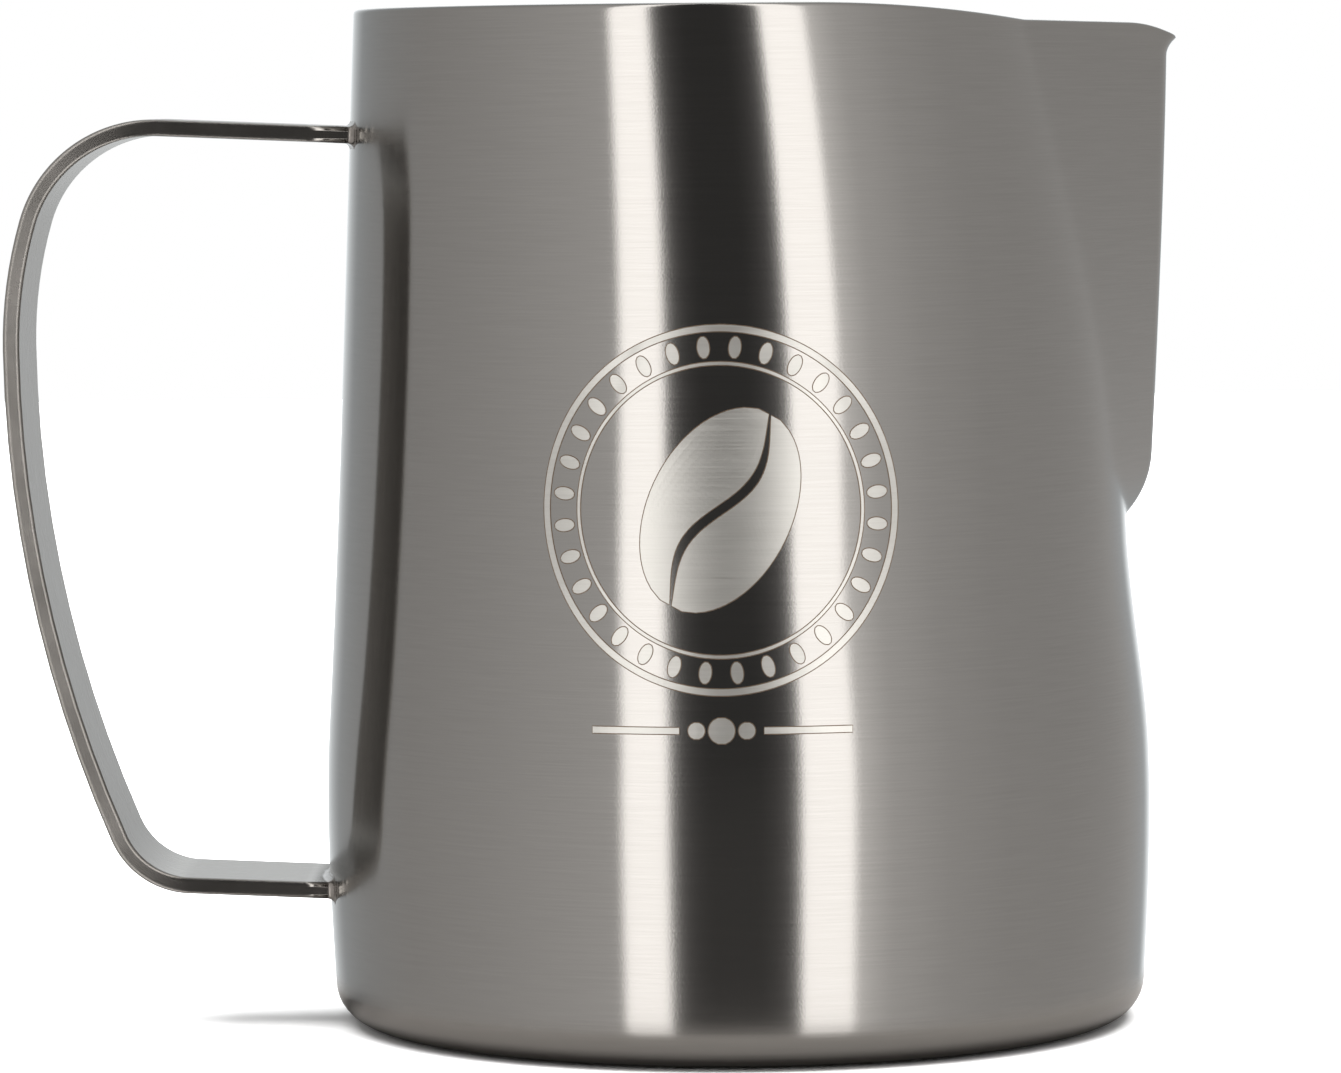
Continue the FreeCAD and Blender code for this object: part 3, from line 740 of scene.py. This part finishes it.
def brushed(name, low, high, rough, stretch, depth, grain, anisotropic=0.0, turn=0.0,
            along=None):
    """Coated steel with a fine sparkle, brushed round the Z axis or along a mesh's own length.

    Its tone varies from low to high with the streaks and its roughness over rough; depth and
    grain are the heights of the streaks and of the sparkle in metres, and along is a UV map.
    """
    material, nodes, links, shader = new_material(name)
    shader.inputs["Metallic"].default_value = 1.0
    shader.inputs["Anisotropic"].default_value = anisotropic
    shader.inputs["Anisotropic Rotation"].default_value = turn
    if along:
        tangent = add_node(nodes, "ShaderNodeTangent", direction_type="UV_MAP", uv_map=along)
    else:
        tangent = add_node(nodes, "ShaderNodeTangent", direction_type="RADIAL", axis="Z")
    links.new(tangent.outputs["Tangent"], shader.inputs["Tangent"])
    fine = streaks(nodes, links, stretch, 1.0, 3.0)
    dust = streaks(nodes, links, EVEN, DUST_SCALE, 1.0)
    links.new(ramp(nodes, links, fine, low, high), shader.inputs["Base Color"])
    links.new(spread(nodes, links, fine, rough[0], rough[1]), shader.inputs["Roughness"])
    bump(nodes, links, shader, ((fine, depth), (dust, grain)))
    return material


def make_materials():
    """The steel of the cup, its inside, the strap and the welds, and the badge's two finishes."""
    cup = brushed("gunmetal_brushed", (0.322, 0.31, 0.295), (0.348, 0.335, 0.32),
                  rough=(0.13, 0.16), stretch=(130.0, 130.0, 7500.0), depth=1e-6, grain=1.6e-6,
                  anisotropic=0.95, turn=QUARTER_TURN)
    strap = brushed("gunmetal_strap", (0.31, 0.295, 0.275), (0.36, 0.34, 0.32),
                    rough=(0.24, 0.28), stretch=(160.0, 4200.0, 160.0), depth=1.5e-6,
                    grain=1e-6, anisotropic=0.9, turn=QUARTER_TURN, along=STRAP_LENGTHWISE)
    weld = brushed("gunmetal_weld", (0.26, 0.24, 0.22), (0.36, 0.33, 0.31),
                   rough=(0.16, 0.3), stretch=(900.0, 900.0, 900.0), depth=3e-5, grain=1e-6)
    inside = brushed("gunmetal_inside", (0.35, 0.335, 0.32), (0.39, 0.375, 0.36),
                     rough=(0.44, 0.50), stretch=(130.0, 130.0, 4200.0), depth=2e-6,
                     grain=1.6e-6, anisotropic=0.5, turn=QUARTER_TURN)
    etched = brushed("bare_etched_steel", (0.60, 0.585, 0.55), (0.66, 0.645, 0.61),
                     rough=(0.38, 0.44), stretch=(90.0, 90.0, 5200.0), depth=2e-6, grain=3e-6,
                     anisotropic=0.5, turn=QUARTER_TURN)
    outline = brushed("burnt_outline", (0.16, 0.115, 0.08), (0.22, 0.165, 0.12),
                      rough=(0.45, 0.55), stretch=(900.0, 900.0, 900.0), depth=1e-6, grain=1e-6)
    return cup, inside, strap, weld, etched, outline


# ---------------------------------------------------------------- floor, light and camera

FLOOR_HALF = 1.5                                # metres, as are the other lengths below
FLOOR_DROP = 0.0002                             # below the foot, so that the two don't touch
FLOOR_TONES = ((0.90, 0.90, 0.90), (0.92, 0.92, 0.92))
FLOOR_ROUGHNESS = 0.9
FLOOR_SEEN_TO = 0.050                           # the steel mirrors it dimly up to this radius
FLOOR_FADED_AT = 0.064
FLOOR_FADE = 0.96                               # and this much of it is left out beyond
FLOOR_PAINTED_SHADE = (0.24, 0.23, 0.22, 1.0)             # its colour as the steel mirrors it: painted shade, darker than the floor the camera sees

TOP_BOX_SIDE = 3.0
TOP_BOX_POWER = 220.0                           # watts
TOP_BOX_HEIGHT = 2.2

SENSOR_WIDTH = 36.0                             # millimetres, as is the lens
LENS = 176.2
CAMERA_TURN = 0.58                              # degrees
CAMERA_DOWN = 3.81
CAMERA_ROLL = -0.46
STAND_OFF = 6.5                                 # in heights of the cup, as is the next
EYE_HEIGHT = 0.91


def make_floor():
    """A plain pale floor, which the steel mirrors dimly, and only near the foot: a painted shade
    in the reflection.
    """
    half = FLOOR_HALF
    low = cad_low[2] - FLOOR_DROP
    mesh = bpy.data.meshes.new("floor")
    corners = [(-half, -half, low), (half, -half, low), (half, half, low), (-half, half, low)]
    mesh.from_pydata(corners, [], [(0, 1, 2, 3)])
    material, nodes, links, shader = new_material("pale_floor")
    tone = streaks(nodes, links, EVEN, 3.0, 2.0)
    links.new(ramp(nodes, links, tone, *FLOOR_TONES), shader.inputs["Base Color"])
    shader.inputs["Roughness"].default_value = FLOOR_ROUGHNESS
    away = add_node(nodes, "ShaderNodeVectorMath", operation="LENGTH")
    place = nodes.new("ShaderNodeTexCoord")
    links.new(place.outputs["Object"], away.inputs[0])
    fade = nodes.new("ShaderNodeMapRange")
    fade.inputs["From Min"].default_value = FLOOR_SEEN_TO
    fade.inputs["From Max"].default_value = FLOOR_FADED_AT
    fade.inputs["To Max"].default_value = FLOOR_FADE
    links.new(away.outputs["Value"], fade.inputs["Value"])
    # painted shade: near the foot the steel mirrors this darker floor colour instead of the lit
    # floor
    dim = add_node(nodes, "ShaderNodeBsdfDiffuse")
    dim.inputs["Color"].default_value = FLOOR_PAINTED_SHADE
    clear = nodes.new("ShaderNodeBsdfTransparent")
    mirrored = nodes.new("ShaderNodeMixShader")
    links.new(fade.outputs["Result"], mirrored.inputs["Fac"])
    links.new(dim.outputs["BSDF"], mirrored.inputs[1])
    links.new(clear.outputs["BSDF"], mirrored.inputs[2])
    rays = nodes.new("ShaderNodeLightPath")
    mix = nodes.new("ShaderNodeMixShader")
    links.new(rays.outputs["Is Glossy Ray"], mix.inputs["Fac"])
    links.new(shader.outputs["BSDF"], mix.inputs[1])
    links.new(mirrored.outputs["Shader"], mix.inputs[2])
    links.new(mix.outputs["Shader"], nodes["Material Output"].inputs["Surface"])
    mesh.materials.append(material)
    floor = bpy.data.objects.new("floor", mesh)
    bpy.context.scene.collection.objects.link(floor)


# Brightness of the studio round the cup, by direction from the camera's side: degrees, positive
# towards the spout.  Two tall soft boxes stand beside the camera and a white wall behind the cup.
STUDIO = (
    (-180.0, 1.3), (-172.0, 1.0), (-150.0, 0.50), (-104.0, 0.54), (-87.0, 0.59), (-72.0, 0.64),
    (-46.0, 0.75), (-33.0, 0.82), (-31.5, 2.85), (-20.0, 2.85), (-18.8, 1.0), (-17.0, 0.36),
    (-15.0, 0.15), (-12.0, 0.09), (-8.0, 0.062), (6.0, 0.062), (10.0, 0.09), (13.4, 0.15),
    (15.4, 0.36), (16.8, 1.0), (18.0, 2.85), (31.5, 2.85), (32.9, 1.35), (38.0, 1.06),
    (43.0, 0.86), (60.0, 0.68), (80.0, 0.59), (100.0, 0.57), (140.0, 0.58), (157.0, 0.55),
    (167.0, 1.15), (180.0, 1.4),
)
STUDIO_TINT = (1.0, 0.988, 0.975)
WALL_TINT = (0.93, 0.975, 1.0)                  # of the white wall behind the cup
WALL_STARTS = 145.0


def make_studio():
    """Soft studio light all round, and plain white where the camera sees past the cup."""
    world = bpy.data.worlds.new("studio")
    bpy.context.scene.world = world
    world.use_nodes = True
    nodes = world.node_tree.nodes
    links = world.node_tree.links
    nodes.clear()
    place = nodes.new("ShaderNodeTexCoord")
    split = nodes.new("ShaderNodeSeparateXYZ")
    links.new(place.outputs["Generated"], split.inputs["Vector"])
    ahead = add_node(nodes, "ShaderNodeMath", operation="MULTIPLY")
    ahead.inputs[1].default_value = -1.0
    links.new(split.outputs["Y"], ahead.inputs[0])
    turn = add_node(nodes, "ShaderNodeMath", operation="ARCTAN2")
    links.new(split.outputs["X"], turn.inputs[0])
    links.new(ahead.outputs[0], turn.inputs[1])
    share = add_node(nodes, "ShaderNodeMapRange")
    share.inputs["From Min"].default_value = -math.pi
    share.inputs["From Max"].default_value = math.pi
    links.new(turn.outputs[0], share.inputs["Value"])
    strongest = max(value for _, value in STUDIO)
    bands = nodes.new("ShaderNodeValToRGB")
    bands.color_ramp.interpolation = "LINEAR"
    while len(bands.color_ramp.elements) < len(STUDIO):
        bands.color_ramp.elements.new(0.5)
    for element, (degrees, value) in zip(bands.color_ramp.elements, STUDIO):
        element.position = (degrees + 180.0) / 360.0
        tint = WALL_TINT if abs(degrees) > WALL_STARTS else STUDIO_TINT
        element.color = (*(value / strongest * part for part in tint), 1.0)
    links.new(share.outputs["Result"], bands.inputs["Fac"])
    round_light = nodes.new("ShaderNodeBackground")
    round_light.inputs["Strength"].default_value = strongest
    links.new(bands.outputs["Color"], round_light.inputs["Color"])
    white = nodes.new("ShaderNodeBackground")
    white.inputs["Color"].default_value = (1.0, 1.0, 1.0, 1.0)
    white.inputs["Strength"].default_value = 1.0
    rays = nodes.new("ShaderNodeLightPath")
    mix = nodes.new("ShaderNodeMixShader")
    links.new(rays.outputs["Is Camera Ray"], mix.inputs["Fac"])
    links.new(round_light.outputs["Background"], mix.inputs[1])
    links.new(white.outputs["Background"], mix.inputs[2])
    output = nodes.new("ShaderNodeOutputWorld")
    links.new(mix.outputs["Shader"], output.inputs["Surface"])


def make_top_light():
    """A wide soft box overhead, which keeps the floor pale right up to the foot."""
    data = bpy.data.lights.new("top_box", "AREA")
    data.shape = "RECTANGLE"
    data.size = TOP_BOX_SIDE
    data.size_y = TOP_BOX_SIDE
    data.energy = TOP_BOX_POWER
    light = bpy.data.objects.new("top_box", data)
    light.location = (0.0, 0.0, TOP_BOX_HEIGHT)
    light.visible_camera = False
    light.visible_glossy = False
    bpy.context.scene.collection.objects.link(light)


def make_camera():
    """A long lens about 0.7 m in front of the cup, a little above its middle."""
    data = bpy.data.cameras.new("camera")
    data.sensor_width = SENSOR_WIDTH
    data.lens = LENS
    data.clip_start = 0.01
    camera = bpy.data.objects.new("camera", data)
    turn = Matrix.Rotation(math.radians(CAMERA_TURN), 4, "Z")
    tilt = Matrix.Rotation(math.radians(90.0 - CAMERA_DOWN), 4, "X")
    roll = Matrix.Rotation(math.radians(CAMERA_ROLL), 4, "Z")
    place = Matrix.Translation(
        Vector((0.0, -STAND_OFF * cad_high[2], EYE_HEIGHT * cad_high[2])))
    camera.matrix_world = place @ turn @ tilt @ roll
    bpy.context.scene.collection.objects.link(camera)
    bpy.context.scene.camera = camera


def main():
    """Build the pitcher and its studio."""
    cup_steel, inside_steel, strap_steel, weld_steel, etched, outline = make_materials()
    make_cup(cup_steel, inside_steel)
    make_strap(strap_steel)
    stations = strap_path()
    make_weld("upper_bead", "upper_handle_weld", stations[0], weld_steel, WELD_SEEDS[0])
    make_weld("lower_bead", "lower_handle_weld", stations[-1], weld_steel, WELD_SEEDS[1])
    make_badge(etched, outline)
    make_floor()
    make_studio()
    make_top_light()
    make_camera()
    bpy.context.scene.view_settings.view_transform = "Standard"


main()
